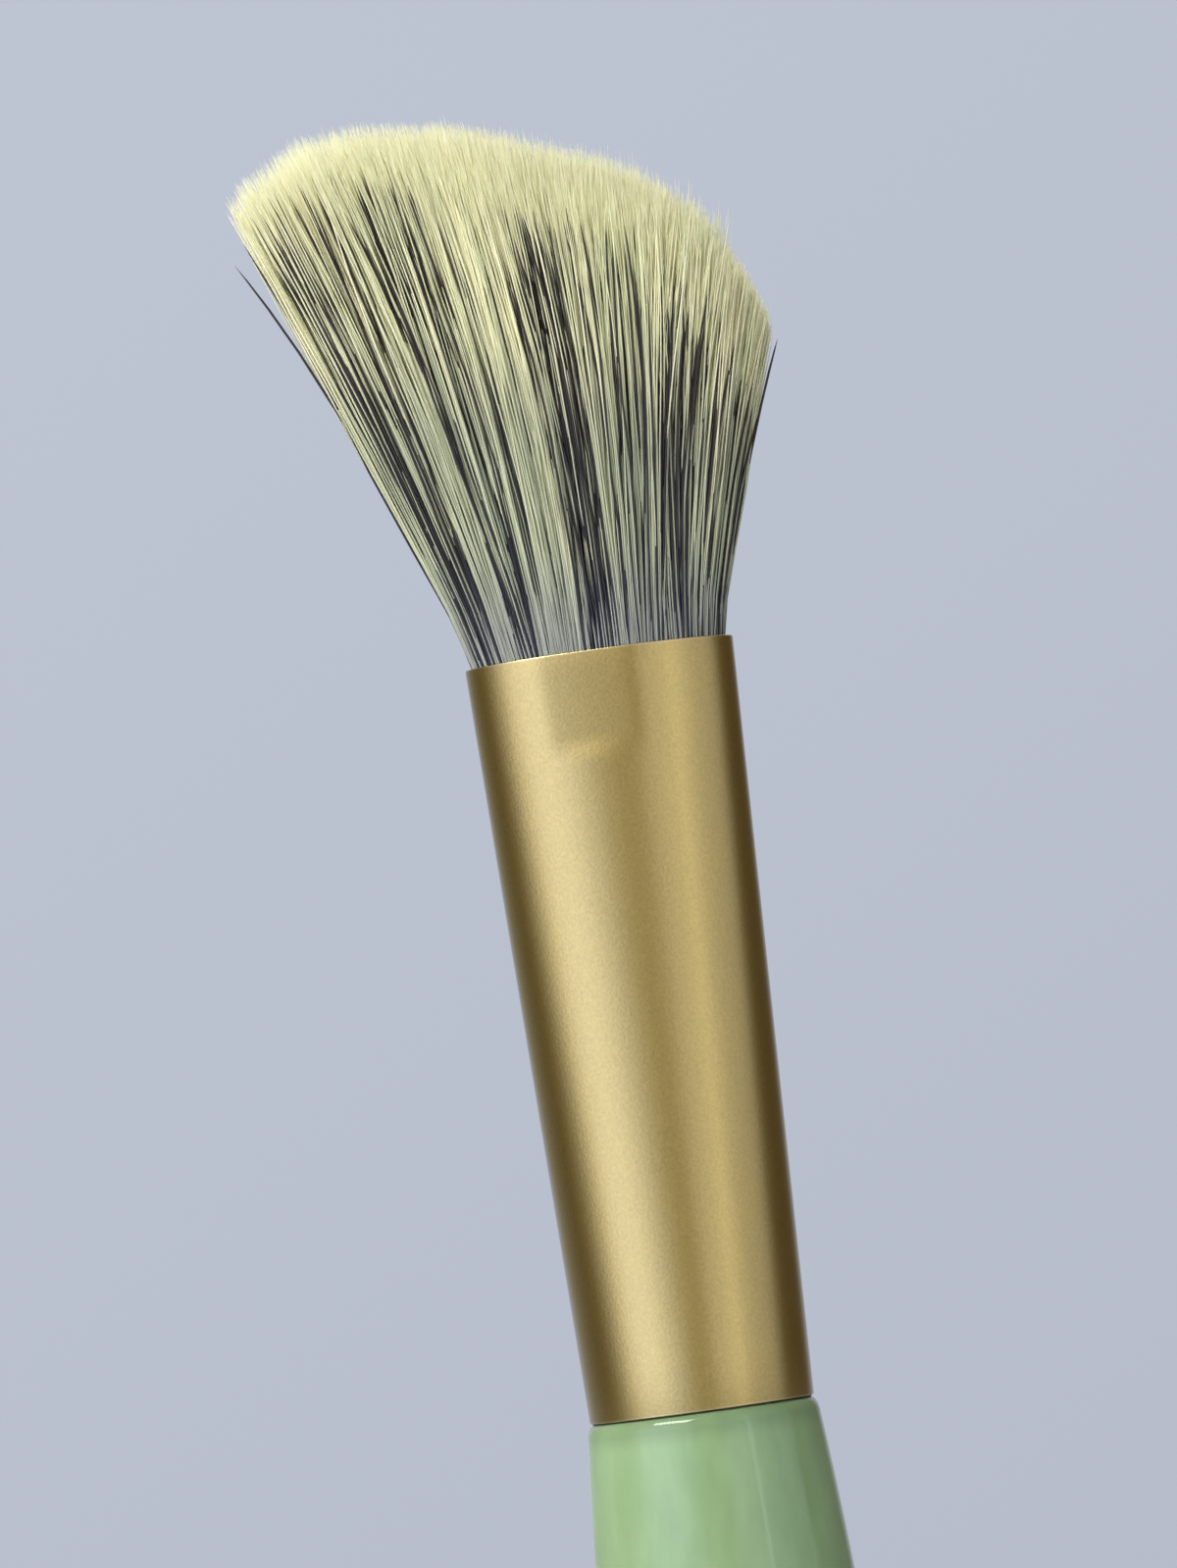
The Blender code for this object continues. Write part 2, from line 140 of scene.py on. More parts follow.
# Roots, in a honeycomb from which each is shifted by up to this share of its pitch
ROOT_DEPTH = 3.1 * MM
ROOT_MARGIN = 0.06 * MM
ROW_SHARE = 0.866
PACKED_SHARE = 0.98
ROOT_SHIFT = 0.42

# A filament's rings, as shares of its height, and how thick it is at each
RING_SHARES = (0.0, 0.12, 0.28, 0.46, 0.63, 0.78, 0.89, 0.96, 1.0)
PALE_TAPER = (1.0, 1.0, 1.0, 1.0, 0.98, 0.9, 0.7, 0.4, 0.04)
DARK_TAPER = (1.0, 1.0, 1.0, 1.0, 1.0, 1.0, 0.94, 0.66, 0.08)
# Each filament's thickness as a share of the usual one, and what a dark one has on top
THICKNESSES = (0.75, 1.25)
DARK_EXTRA = 0.12

# Where the dark filaments gather across the mouth: place, half width and how many of the roots there are dark
DARK_STREAKS = (
    (-0.87, 0.11, 0.3),
    (-0.72, 0.05, 0.06),
    (-0.47, 0.07, 0.24),
    (-0.27, 0.11, -0.13),
    (0.045, 0.1, 0.34),
    (0.52, 0.05, 0.26),
    (0.64, 0.06, 0.2),
    (0.78, 0.05, 0.04),
    (0.91, 0.05, 0.16),
)
# The share that is dark everywhere, and the most that can be
SCATTERED_DARK = 0.145
DARKEST = 0.9
# Locks hold more or fewer dark ones, by a share that runs from the least over this span
LOCK_DARK_LEAST = 0.7
LOCK_DARK_SPAN = 0.6
# The core of the tuft has this share of the dark filaments that its shell has, with a rise between the two
CORE_DARK = 0.3
SHELL_RISE = 3
SHELL_DROP = 1.2
# How far the dark filaments lie outside the pale ones, the least and most of it that one has, and how soon it
# gets there
DARK_PROUD = 0.2 * MM
PROUD_SHARES = (-0.3, 1.2)
PROUD_PACE = 2.5
# Dark filaments that curl off the edges of the fan: place across the mouth, slope, height and curl
STRAYS = (
    (-0.975, -0.375, 23.2 * MM, -1.4 * MM),
    (-0.93, -0.385, 19.5 * MM, 0.0),
    (0.96, 0.325, 15.4 * MM, 0.4 * MM),
)
STRAY_THICKNESS = 1.35

# How high the filaments reach, as shares of the head's height there, and how much lower the lowest end. No
# dark one passes its limit, which lies just below its pale neighbours' tips
PALE_REACH = 1.006
PALE_UNEVEN = 0.055
PALE_UNEVEN_POWER = 1.9
DARK_PLACES = (-0.9, -0.5, -0.1, 0.3, 0.6, 0.9)
DARK_REACH = (0.94, 0.92, 0.84, 0.86, 0.8, 0.86)
DARK_UNEVEN = 0.16
DARK_UNEVEN_POWER = 1.3
DARK_LIMIT = 0.97

# Filaments cling in locks, and locks in sheaves, which sway and shade together by about this much. Both are a
# little longer from front to back, and a lock is drawn in most a little below half way
ROOTS_PER_LOCK = 30
ROOTS_PER_SHEAF = 380
LOCK_STRETCH = (1, 0.8)
LOCK_PULL = 0.3
LOCK_PULL_SHARES = (0.0, 1.2)
LOCK_PULL_POWER = 0.8
LOCK_SWAY = 0.14 * MM
SHEAF_SWAY = 0.16 * MM
LOCK_LEVEL = 0.0015
LOCK_SHADE = 0.1
SHEAF_SHADE = 0.04
FILAMENT_SHADE = 0.19
# Each filament's own error of angle, wilder in some, and turned inwards beyond this place across the mouth
SPLAY = 0.016
WILD_SHARE = 0.2
WILD_TIMES = 2.4
SPLAY_LIMIT = 0.06
EDGE_PLACE = 0.66
EDGE_SPLAY = 0.7
# Each filament's own waves: their size in millimetres, and how many it has
WAVE_SIZES = (0.03, 0.17)
WAVE_COUNTS = (0.6, 1.3)
SEED = 27

# The filaments' UV map has a column for each tone, with a margin at its sides and ends
TONES = 48
TONE_MARGIN = 0.15
END_MARGIN = 0.01
# Pieces from front to back that each colour is shared out to, so that none is too heavy
LAYERS = {"pale": 7, "dark": 2}

# Finishes of the bead and the inner pieces: name, colour, roughness, then how fine their grain is across and
# along Z, its contrast and its relief
# The bead's near-black colour is partly the glue's own and partly painted shade that darkens the seam
BEAD_FINISH_WITH_SEAM_SHADE = ("seat_glue_and_painted_shade", (0.03, 0.03, 0.015), 0.4, 900.0, 900.0, 1.5, 0.2)
INNER_FINISHES = {
    "tenon_adhesive": ("amber_glue_set", (0.45, 0.27, 0.08), 0.35, 700.0, 700.0, 2.0, 0.3),
    "root_epoxy": ("clear_epoxy_set", (0.62, 0.55, 0.36), 0.25, 500.0, 500.0, 1.6, 0.15),
    "binding_thread": ("waxed_thread_twisted", (0.62, 0.58, 0.5), 0.7, 2600.0, 6500.0, 2.4, 0.8),
}

# Studio, with azimuths in degrees round the brush: 0 on the camera's side, and 90 on the short side.
# What a mirror sees there, as (azimuth, brightness, tint): a broad card on either side, a narrow strip in the
# right one, dark beyond them, and the backdrop behind. Above and below they fade to a share of that
NEUTRAL = (1.0, 1.0, 0.9)
COOL = (0.92, 1.0, 1.35)
BRIGHT = (0.9, 1.06, 1.75)
WARM = (1.1, 0.88, 0.45)
PAPER = (0.93, 1.0, 1.15)
CARD_LEVEL = 3.5
CARD_END_SHARE = 0.12
CARDS = (
    (-180, 0.54, PAPER),
    (-160, 0.48, PAPER),
    (-140, 0.3, NEUTRAL),
    (-125, 0.22, NEUTRAL),
    (-106, 0.13, WARM),
    (-94, 0.17, WARM),
    (-82, 0.46, COOL),
    (-72, 1.02, COOL),
    (-66, 1.55, COOL),
    (-60, 1.9, BRIGHT),
    (-50, 1.98, BRIGHT),
    (-38, 2.0, BRIGHT),
    (-28, 1.62, BRIGHT),
    (-19, 1.2, BRIGHT),
    (-9, 0.8, COOL),
    (0, 0.56, NEUTRAL),
    (10, 0.42, NEUTRAL),
    (15.5, 0.46, NEUTRAL),
    (17, 1.0, COOL),
    (30, 1.16, COOL),
    (42.8, 1.1, COOL),
    (43.4, 2.9, PAPER),
    (46.0, 2.9, PAPER),
    (46.6, 1.05, COOL),
    (66, 0.86, COOL),
    (93, 0.7, COOL),
    (94.2, 0.1, WARM),
    (148, 0.11, WARM),
    (160, 0.45, PAPER),
    (180, 0.54, PAPER),
)
# Softboxes: name, azimuth, distance, height, width, length, radiance, tint and the height that they point at
SOFTBOXES = (
    ("key_softbox", -64, 1.0, 0.3, 0.85, 1.3, 2.2, (1.0, 1.0, 1.02), 0.14),
    ("front_softbox", -8, 1.1, 0.55, 0.6, 0.6, 3.7, (1.0, 1.0, 1.0), 0.14),
    ("side_softbox", 50, 1.0, 0.3, 0.7, 1.3, 0.06, (1.0, 0.99, 0.98), 0.14),
    ("top_softbox", -16, 0.65, 0.95, 0.6, 0.6, 4.0, (1.0, 1.0, 1.02), 0.15),
)
# Two more that mirrors see as well: one that only makes a sparkle, and one behind the brush
SPARK = ("spark", -40, 0.75, 1.05, 0.7, 0.3, 20.0, (1.0, 1.0, 1.0), 0.15)
BACKLIGHT = ("back_softbox", 160, 0.9, 0.95, 0.7, 0.6, 0.7, (0.98, 1.0, 1.04), 0.15)
# Soft light from all round, stronger from the left and from below
FILL_TINT = (0.95, 0.97, 1.0)
FILL_LEFT = 0.5
FILL_RIGHT = 0.15
FILL_RISE = 0.6
# The floor fades into the backdrop between these distances from the brush
FLOOR_FADE = 0.12
FLOOR_RADIUS = 0.75
# Where the camera stands, across and up, and the height that it looks at
CAMERA_ACROSS = -1.49 * MM
CAMERA_HEIGHT = 115 * MM
AIM_HEIGHT = 139.03 * MM


# Settings


class HandleSettings(bpy.types.PropertyGroup):
    """Fineness, colours and polish of the turned handle."""

    steps: bpy.props.IntProperty(
        name="Turning steps", description="Facets round the handle", default=144, min=24
    )
    jade: bpy.props.FloatVectorProperty(
        name="Jade", description="Main green of the acrylic", subtype="COLOR", default=(0.3, 0.45, 0.208)
    )
    cloud: bpy.props.FloatVectorProperty(
        name="Cloud", description="Milky green of its clouds", subtype="COLOR", default=(0.355, 0.505, 0.262)
    )
    gloss: bpy.props.FloatProperty(
        name="Roughness",
        description="Roughness of the polished skin",
        subtype="FACTOR",
        default=0.085,
        min=0,
        max=1,
    )


class FerruleSettings(bpy.types.PropertyGroup):
    """Fineness, colour and sheen of the pressed tube."""

    steps: bpy.props.IntProperty(name="Steps", description="Facets round the ferrule", default=176, min=24)
    gold: bpy.props.FloatVectorProperty(
        name="Gold", description="Colour of the anodised skin", subtype="COLOR", default=(0.5, 0.345, 0.078)
    )
    satin: bpy.props.FloatProperty(
        name="Roughness",
        description="Roughness of the satin skin",
        subtype="FACTOR",
        default=0.31,
        min=0,
        max=1,
    )


class HeadSettings(bpy.types.PropertyGroup):
    """Count, thicknesses and colours of the filaments."""

    roots: bpy.props.IntProperty(
        name="Filaments", description="About how many filaments stand in the mouth", default=18000, min=100
    )
    pale_diameter: bpy.props.FloatProperty(
        name="Pale diameter", description="Thickness of a pale filament", unit="LENGTH", default=0.086 * MM
    )
    dark_diameter: bpy.props.FloatProperty(
        name="Dark diameter", description="Thickness of a dark filament", unit="LENGTH", default=0.1 * MM
    )
    pale_root: bpy.props.FloatVectorProperty(
        name="Pale root", description="Pale colour low down", subtype="COLOR", default=(0.345, 0.36, 0.315)
    )
    pale_body: bpy.props.FloatVectorProperty(
        name="Pale body", description="Pale colour half way up", subtype="COLOR", default=(0.61, 0.63, 0.42)
    )
    pale_tip: bpy.props.FloatVectorProperty(
        name="Pale tip", description="Pale colour at the tips", subtype="COLOR", default=(0.98, 0.955, 0.61)
    )
    dark_root: bpy.props.FloatVectorProperty(
        name="Dark root", description="Dark colour low down", subtype="COLOR", default=(0.012, 0.012, 0.018)
    )
    dark_body: bpy.props.FloatVectorProperty(
        name="Dark body", description="Dark colour half way up", subtype="COLOR", default=(0.016, 0.012, 0.01)
    )
    dark_tip: bpy.props.FloatVectorProperty(
        name="Dark tip", description="Dark colour at the tips", subtype="COLOR", default=(0.024, 0.015, 0.008)
    )


class StudioSettings(bpy.types.PropertyGroup):
    """Backdrop and camera."""

    backdrop: bpy.props.FloatVectorProperty(
        name="Backdrop", description="Colour of the paper", subtype="COLOR", default=(0.485, 0.525, 0.615)
    )
    distance: bpy.props.FloatProperty(
        name="Camera distance", description="From the lens to the brush", unit="LENGTH", default=470 * MM
    )
    lens: bpy.props.FloatProperty(
        name="Lens", description="Focal length", subtype="DISTANCE_CAMERA", default=202.5, min=1
    )
    roll: bpy.props.FloatProperty(
        name="Roll", description="The brush's lean to the left", subtype="ANGLE", default=math.radians(7.75)
    )


# Meshes


def add_piece(name, bm, material, replaced=()):
    """The finished mesh as a piece of the brush, with its place in its mesh."""
    mesh = bpy.data.meshes.new(name)
    bm.to_mesh(mesh)
    bm.free()
    mesh.shade_smooth()
    mesh.set_sharp_from_angle(angle=SMOOTH_ANGLE)
    return seat_piece(name, mesh, material, replaced)


def seat_piece(name, mesh, material, replaced=()):
    """Links a mesh, gives it its finish and hides the CAD nodes it stands for."""
    piece = bpy.data.objects.new(name, mesh)
    bpy.context.scene.collection.objects.link(piece)
    mesh.materials.clear()
    mesh.materials.append(material)
    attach(piece, "root")
    if replaced:
        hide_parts(*replaced)
    return piece


def turned(profile, steps, ring=False):
    """A solid turned from (radius, height) points: a closed ring, or a run whose two ends are faced flat."""
    bm = bmesh.new()
    corners = [bm.verts.new((radius, 0, height)) for radius, height in profile]
    following = corners[1:] + corners[:1] if ring else corners[1:]
    edges = [bm.edges.new(run) for run in zip(corners, following)]
    bmesh.ops.spin(
        bm, geom=corners + edges, cent=(0, 0, 0), axis=(0, 0, 1), angle=math.tau, steps=steps, use_merge=True
    )
    bmesh.ops.remove_doubles(bm, verts=bm.verts, dist=WELD)
    bmesh.ops.holes_fill(bm, edges=bm.edges, sides=0)
    bmesh.ops.recalc_face_normals(bm, faces=bm.faces)
    return bm


def curve_side(start, start_pull, end_pull, end, points):
    """Points up a Bezier curve between two (radius, height) points, each with its pull."""
    first, last = Vector(start), Vector(end)
    first_handle, last_handle = first + Vector(start_pull), last + Vector(end_pull)
    return [tuple(point) for point in interpolate_bezier(first, first_handle, last_handle, last, points)]


def rounding(centre, reach, rise, start_angle, end_angle, points):
    """Points round a part of an ellipse in the profile's plane."""
    turn = (end_angle - start_angle) / points
    angles = [start_angle + turn * step for step in range(points + 1)]
    return [(centre[0] + reach * math.cos(a), centre[1] + rise * math.sin(a)) for a in angles]


def handle_profile():
    """The handle's side from the butt up to the top of its spigot."""
    neck_height = SHOULDER_TOP - SHOULDER_DROP
    neck_run = neck_height - BELLY_HEIGHT
    taper_run = BELLY_HEIGHT - BUTT_ROUNDING
    butt_centre = (BUTT_RADIUS - BUTT_ROUNDING, BUTT_ROUNDING)
    butt = rounding(butt_centre, BUTT_ROUNDING, BUTT_ROUNDING, -math.pi / 2, 0, BUTT_POINTS)
    lower = curve_side(
        butt[-1],
        (BUTT_SPLAY_SHARE * TAPER_PULL_SHARE * taper_run, TAPER_PULL_SHARE * taper_run),
        (0, -TAPER_PULL_SHARE * taper_run),
        (BELLY_RADIUS, BELLY_HEIGHT),
        SIDE_POINTS,
    )
    upper = curve_side(
        (BELLY_RADIUS, BELLY_HEIGHT),
        (0, BELLY_PULL_SHARE * neck_run),
        (NECK_SPLAY_SHARE * NECK_PULL_SHARE * neck_run, -NECK_PULL_SHARE * neck_run),
        (SHOULDER_RADIUS, neck_height),
        SIDE_POINTS,
    )
    ledge_centre = (SHOULDER_RADIUS - SHOULDER_ROUNDING, neck_height)
    ledge = rounding(ledge_centre, SHOULDER_ROUNDING, SHOULDER_DROP, 0, math.pi / 2, LEDGE_POINTS)
    spigot = [
        (SPIGOT_RADIUS, SHOULDER_TOP),
        (SPIGOT_TIP_RADIUS, SPIGOT_TOP - SPIGOT_CHAMFER),
        (SPIGOT_TIP_RADIUS - SPIGOT_CHAMFER, SPIGOT_TOP),
    ]
    return butt + lower[1:] + upper[1:] + ledge[1:] + spigot


def bead_profile():
    """The section of the bead of glue: a low bar in the seam, its outer corners broken."""
    low, high = SHOULDER_TOP, SHOULDER_TOP + BEAD_HEIGHT
    corner = BEAD_HEIGHT / 3
    return [
        (BEAD_RADIUS - BEAD_DEPTH, low),
        (BEAD_RADIUS - corner, low),
        (BEAD_RADIUS, low + corner),
        (BEAD_RADIUS, high - corner),
        (BEAD_RADIUS - corner, high),
        (BEAD_RADIUS - BEAD_DEPTH, high),
    ]


def half_width(height):
    """Half of the ferrule's width at this height above its lower end."""
    return FERRULE_RADIUS + (MOUTH_HALF_WIDTH - FERRULE_RADIUS) * height / FERRULE_LENGTH


def half_depth(height):
    """Half of the ferrule's depth at this height above its lower end, before its flats are pressed."""
    return FERRULE_RADIUS + (MOUTH_HALF_DEPTH - FERRULE_RADIUS) * height / FERRULE_LENGTH


def pressed_depth(height, across, along):
    """Where a point of the ferrule's oval at this height comes to lie along Y between the jaws' flats."""
    share = (height - FERRULE_LENGTH + PRESS_LAND) / PRESS_BLEND + 1 / 2
    share = min(max(share, 0.0), 1.0)
    firmness = PRESS_FIRMNESS * share * share * (3 - 2 * share)
    side = math.copysign(1, along)
    reach = abs(along)
    proud = reach - half_depth(height) + PRESS_DEPTH + side * PRESS_TILT * across
    return side * (reach - firmness * (proud + math.hypot(proud, PRESS_SOFTNESS)) / 2)


def pressed_tube(steps):
    """The ferrule's outer skin: a cylinder cut into rings and pressed to its section at each height."""
    bm = bmesh.new()
    bmesh.ops.create_cone(
        bm,
        cap_ends=False,
        segments=steps,
        radius1=FERRULE_RADIUS,
        radius2=FERRULE_RADIUS,
        depth=FERRULE_LENGTH,
        matrix=Matrix.Translation((0, 0, FERRULE_LENGTH / 2)),
    )
    blend_start = FERRULE_LENGTH - PRESS_LAND - PRESS_BLEND / 2
    rings = [blend_start * step / BODY_RINGS for step in range(1, BODY_RINGS)]
    rings += [blend_start + PRESS_BLEND * step / BLEND_RINGS for step in range(BLEND_RINGS + 1)]
    rings += [FERRULE_LENGTH - PRESS_LAND * (1 - step / LAND_RINGS) for step in range(1, LAND_RINGS)]
    for height in rings:
        everything = bm.verts[:] + bm.edges[:] + bm.faces[:]
        bmesh.ops.bisect_plane(bm, geom=everything, dist=WELD, plane_co=(0, 0, height), plane_no=(0, 0, 1))
    for corner in bm.verts:
        height = corner.co.z
        angle = math.atan2(corner.co.y, corner.co.x)
        along = math.sin(angle) * half_depth(height)
        across = math.cos(angle) * half_width(height)
        corner.co = (across, pressed_depth(height, across, along), FERRULE_LOW + height)
    bmesh.ops.recalc_face_normals(bm, faces=bm.faces)
    return bm


# Filaments


def mouth_roots(count, chance):
    """Roots packed evenly over the mouth, each shifted a little, as rows of (x, y)."""
    half_x = MOUTH_HALF_WIDTH - FERRULE_WALL - ROOT_MARGIN
    half_y = MOUTH_HALF_DEPTH - FERRULE_WALL - ROOT_MARGIN
    flat = half_y - PRESS_DEPTH
    pitch = math.sqrt(math.pi * half_x * half_y * PACKED_SHARE / (count * ROW_SHARE))
    places = []
    for row, y in enumerate(np.arange(-half_y, half_y, pitch * ROW_SHARE)):
        x = np.arange(-half_x, half_x, pitch) + (row % 2) * pitch / 2
        places.append(np.stack([x, np.full_like(x, y)], axis=1))
    places = np.concatenate(places)
    places = places + chance.uniform(-ROOT_SHIFT, ROOT_SHIFT, places.shape) * pitch
    inside = (places[:, 0] / half_x) ** 2 + (places[:, 1] / half_y) ** 2 < 1
    return places[inside & (np.abs(places[:, 1]) < flat)]


def gathered(roots, size, chance):
    """Gathers roots into bunches of about this size: the middle of each root's bunch, and its number."""
    count = len(roots) // size
    middles = roots[chance.permutation(len(roots))[:count]]
    apart = ((roots[:, None, :] * LOCK_STRETCH - middles[None, :, :] * LOCK_STRETCH) ** 2).sum(axis=2)
    nearest = apart.argmin(axis=1)
    return middles[nearest], nearest


def lean(across):
    """Sideways drift for each unit of height, from the long side (-1) to the short side (+1)."""
    toe = AXIS_LEAN - TOE_LEAN * np.maximum(-across, 0) ** TOE_LEAN_POWER
    heel = AXIS_LEAN + HEEL_LEAN * np.maximum(across, 0) ** HEEL_LEAN_POWER
    return np.where(across < 0, toe, heel)


def slanted_heights(roots):
    """Height of the tips above the mouth along the middle of the head, slanted across."""
    return HEAD_LENGTH * np.interp(roots[:, 0] / LEAN_HALF_WIDTH, TIP_PLACES, TIP_SHARES)


def domed(roots):
    """The share of that height that is left to each root, from front to back."""
    return 1 - DOME_SHARE * np.abs(roots[:, 1] / MOUTH_HALF_DEPTH) ** DOME_POWER


def fan(roots, rise):
    """Where filaments rooted at these (x, y) rows have got to at these heights above the mouth."""
    above = np.maximum(rise, 0)
    run = above * above / (above + EASE_LENGTH)
    x = roots[..., 0] + lean(roots[..., 0] / LEAN_HALF_WIDTH) * run
    y = roots[..., 1] + FACE_LEAN * roots[..., 1] / MOUTH_HALF_DEPTH * run
    return np.stack([x, y, FERRULE_HIGH + rise], axis=-1)


def turned_in(angle, roots):
    """The angles, but pointing inwards near the edges of the mouth, so that the outline stays clean."""
    half = np.array((MOUTH_HALF_WIDTH, MOUTH_HALF_DEPTH))
    return np.where(np.abs(roots / half) > EDGE_PLACE, -np.sign(roots) * np.abs(angle) * EDGE_SPLAY, angle)


def filament_paths(roots, centres, heights, sway, chance):
    """The points up each filament: drawn towards its lock, swayed with it, then splayed and waved."""
    count = len(roots)
    shares = np.array(RING_SHARES)[None, :]
    rise = shares * heights[:, None]
    pull = chance.uniform(*LOCK_PULL_SHARES, (count, 1))
    gather = LOCK_PULL * np.sin(np.pi * shares**LOCK_PULL_POWER) * pull
    moved = roots[:, None, :] + (centres - roots)[:, None, :] * gather[..., None]
    moved = moved + turned_in(sway, roots)[:, None, :] * np.sin(np.pi * shares)[..., None]
    points = fan(moved, rise)
    angle = chance.normal(0, SPLAY, (count, 2))
    angle[chance.random(count) < WILD_SHARE] *= WILD_TIMES
    angle = np.clip(turned_in(angle, roots), -SPLAY_LIMIT, SPLAY_LIMIT)
    points[..., :2] += angle[:, None, :] * rise[..., None]
    phase = chance.uniform(0, math.tau, (count, 1, 2))
    waves = chance.uniform(*WAVE_COUNTS, (count, 1, 2))
    size = chance.uniform(*WAVE_SIZES, (count, 1, 2)) * MM
    bend = np.sin(waves * math.tau * shares[..., None] + phase) - np.sin(phase)
    points[..., :2] += size * bend * np.minimum(shares * 2, 1)[..., None]
    return with_roots(points)


def with_roots(points):
    """Paths with a straight stretch below the mouth, where the filaments are bonded."""
    base = points[:, :1, :].copy()
    base[..., 2] -= ROOT_DEPTH
    return np.concatenate([base, points], axis=1)


def stray_paths():
    """The few dark filaments that stand off the edges of the fan."""
    place, slope, height, curl = np.array(STRAYS).T[..., None]
    shares = np.array(RING_SHARES)[None, :]
    rise = shares * height
    run = rise * rise / (rise + EASE_LENGTH)
    x = place * (MOUTH_HALF_WIDTH - FERRULE_WALL) + slope * run + curl * shares**4
    return with_roots(np.stack([x, np.full_like(x, -FERRULE_WALL), FERRULE_HIGH + rise], axis=-1))


def tube_mesh(name, paths, widths):
    """Square tubes along paths, as thick as this at each point, closed at both ends."""
    curve = bpy.data.curves.new(name, "CURVE")
    curve.dimensions = "3D"
    curve.bevel_depth = 1 / 2
    curve.bevel_resolution = 0
    curve.use_fill_caps = False
    count, rings = paths.shape[:2]
    points = np.concatenate([paths, np.ones((count, rings, 1))], axis=2).astype(np.float32)
    for path, width in zip(points, widths.astype(np.float32)):
        spline = curve.splines.new("POLY")
        spline.points.add(rings - 1)
        spline.points.foreach_set("co", path.ravel())
        spline.points.foreach_set("radius", width)
    tubes = bpy.data.objects.new(name + "_paths", curve)
    bpy.context.scene.collection.objects.link(tubes)
    graph = bpy.context.evaluated_depsgraph_get()
    mesh = bpy.data.meshes.new_from_object(tubes.evaluated_get(graph), depsgraph=graph)
    bpy.data.objects.remove(tubes)
    bpy.data.curves.remove(curve)
    bm = bmesh.new()
    bm.from_mesh(mesh)
    bmesh.ops.holes_fill(bm, edges=[edge for edge in bm.edges if edge.is_boundary], sides=4)
    bm.to_mesh(mesh)
    bm.free()
    mesh.name = name
    mesh.shade_smooth()
    return mesh


def map_tones(mesh, tones):
    """A UV map that runs across from dull to bright, a column for each tone, and up from root to tip."""
    for layer in list(mesh.uv_layers):
        mesh.uv_layers.remove(layer)
    corner_of = np.zeros(len(mesh.loops), np.int32)
    mesh.loops.foreach_get("vertex_index", corner_of)
    shares = np.array((0.0, *RING_SHARES))
    strand, place = np.divmod(corner_of, 4 * len(shares))
    ring, side = np.divmod(place, 4)
    across = (tones[strand] + TONE_MARGIN + (1 - 2 * TONE_MARGIN) * (side % 2)) / TONES
    up = END_MARGIN + (1 - 2 * END_MARGIN) * shares[ring]
    layer = mesh.uv_layers.new(name="OFBake")
    layer.data.foreach_set("uv", np.stack([across, up], axis=1).astype(np.float32).ravel())


def dark_share(roots, mood):
    """How likely each root is to be dark: streaks across the mouth, mostly near its edge."""
    across = roots[:, 0] / MOUTH_HALF_WIDTH
    share = np.full(len(roots), SCATTERED_DARK)
    for place, half, strength in DARK_STREAKS:
        share += strength * np.exp(-(((across - place) / half) ** 2))
    edge = MOUTH_HALF_DEPTH * np.sqrt(1 - across * across)
    shell = np.clip(np.abs(roots[:, 1]) / edge * SHELL_RISE - SHELL_DROP, CORE_DARK, 1)
    return np.clip(share * shell * (LOCK_DARK_LEAST + LOCK_DARK_SPAN * mood), 0, DARKEST)


def grow_head(settings):
    """Every filament, as rows of (piece's name, kind, paths, tones, share of the usual thickness)."""
    chance = np.random.default_rng(SEED)
    roots = mouth_roots(settings.roots, chance)
    count = len(roots)
    centres, lock = gathered(roots, ROOTS_PER_LOCK, chance)
    _, sheaf = gathered(roots, ROOTS_PER_SHEAF, chance)
    locks, sheaves = lock.max() + 1, sheaf.max() + 1
    share = dark_share(roots, chance.uniform(0, 1, locks)[lock])
    # A root is dark where the running total passes a whole number, which spreads the dark ones evenly
    dark = np.diff(np.floor(np.cumsum(share)), prepend=0) > 0
    centres = np.where(dark[:, None], roots, centres)
    shade = chance.normal(0, LOCK_SHADE, locks)[lock] + chance.normal(0, SHEAF_SHADE, sheaves)[sheaf]
    slanted = slanted_heights(roots)
    full = slanted * domed(roots)
    level = chance.normal(0, LOCK_LEVEL, locks)[lock]
    shortfall = PALE_UNEVEN * chance.random(count) ** PALE_UNEVEN_POWER
    pale_heights = full * (PALE_REACH + level - shortfall)
    reach = np.interp(roots[:, 0] / LEAN_HALF_WIDTH, DARK_PLACES, DARK_REACH)
    shortfall = DARK_UNEVEN * chance.random(count) ** DARK_UNEVEN_POWER
    dark_heights = np.minimum(slanted * (reach - shortfall), full * DARK_LIMIT)
    sway = chance.normal(0, LOCK_SWAY, (locks, 2))[lock]
    sway += chance.normal(0, SHEAF_SWAY, (sheaves, 2))[sheaf]
    paths = filament_paths(roots, centres, np.where(dark, dark_heights, pale_heights), sway, chance)
    proud = DARK_PROUD * dark * chance.uniform(*PROUD_SHARES, count) * roots[:, 1] / MOUTH_HALF_DEPTH
    paths[:, 1:, 1] += proud[:, None] * np.minimum(np.array(RING_SHARES) * PROUD_PACE, 1)
    tone = np.clip(0.5 + shade + chance.normal(0, FILAMENT_SHADE, count), 0, 0.999)
    tones = (tone * TONES).astype(np.int32)
    thickness = chance.uniform(*THICKNESSES, count) + DARK_EXTRA * dark
    pieces = []
    for kind, chosen in (("pale", ~dark), ("dark", dark)):
        layers = LAYERS[kind]
        steps = np.quantile(roots[chosen][:, 1], np.arange(1, layers) / layers)
        layer = np.digitize(roots[:, 1], steps)
        for index in range(layers):
            mine = chosen & (layer == index)
            pieces.append((f"{kind}_filaments_{index + 1}", kind, paths[mine], tones[mine], thickness[mine]))
    tones = np.full(len(STRAYS), TONES // 2)
    thickness = np.full(len(STRAYS), STRAY_THICKNESS)
    pieces.append(("dark_filaments_stray", "dark", stray_paths(), tones, thickness))
    return pieces


# Materials


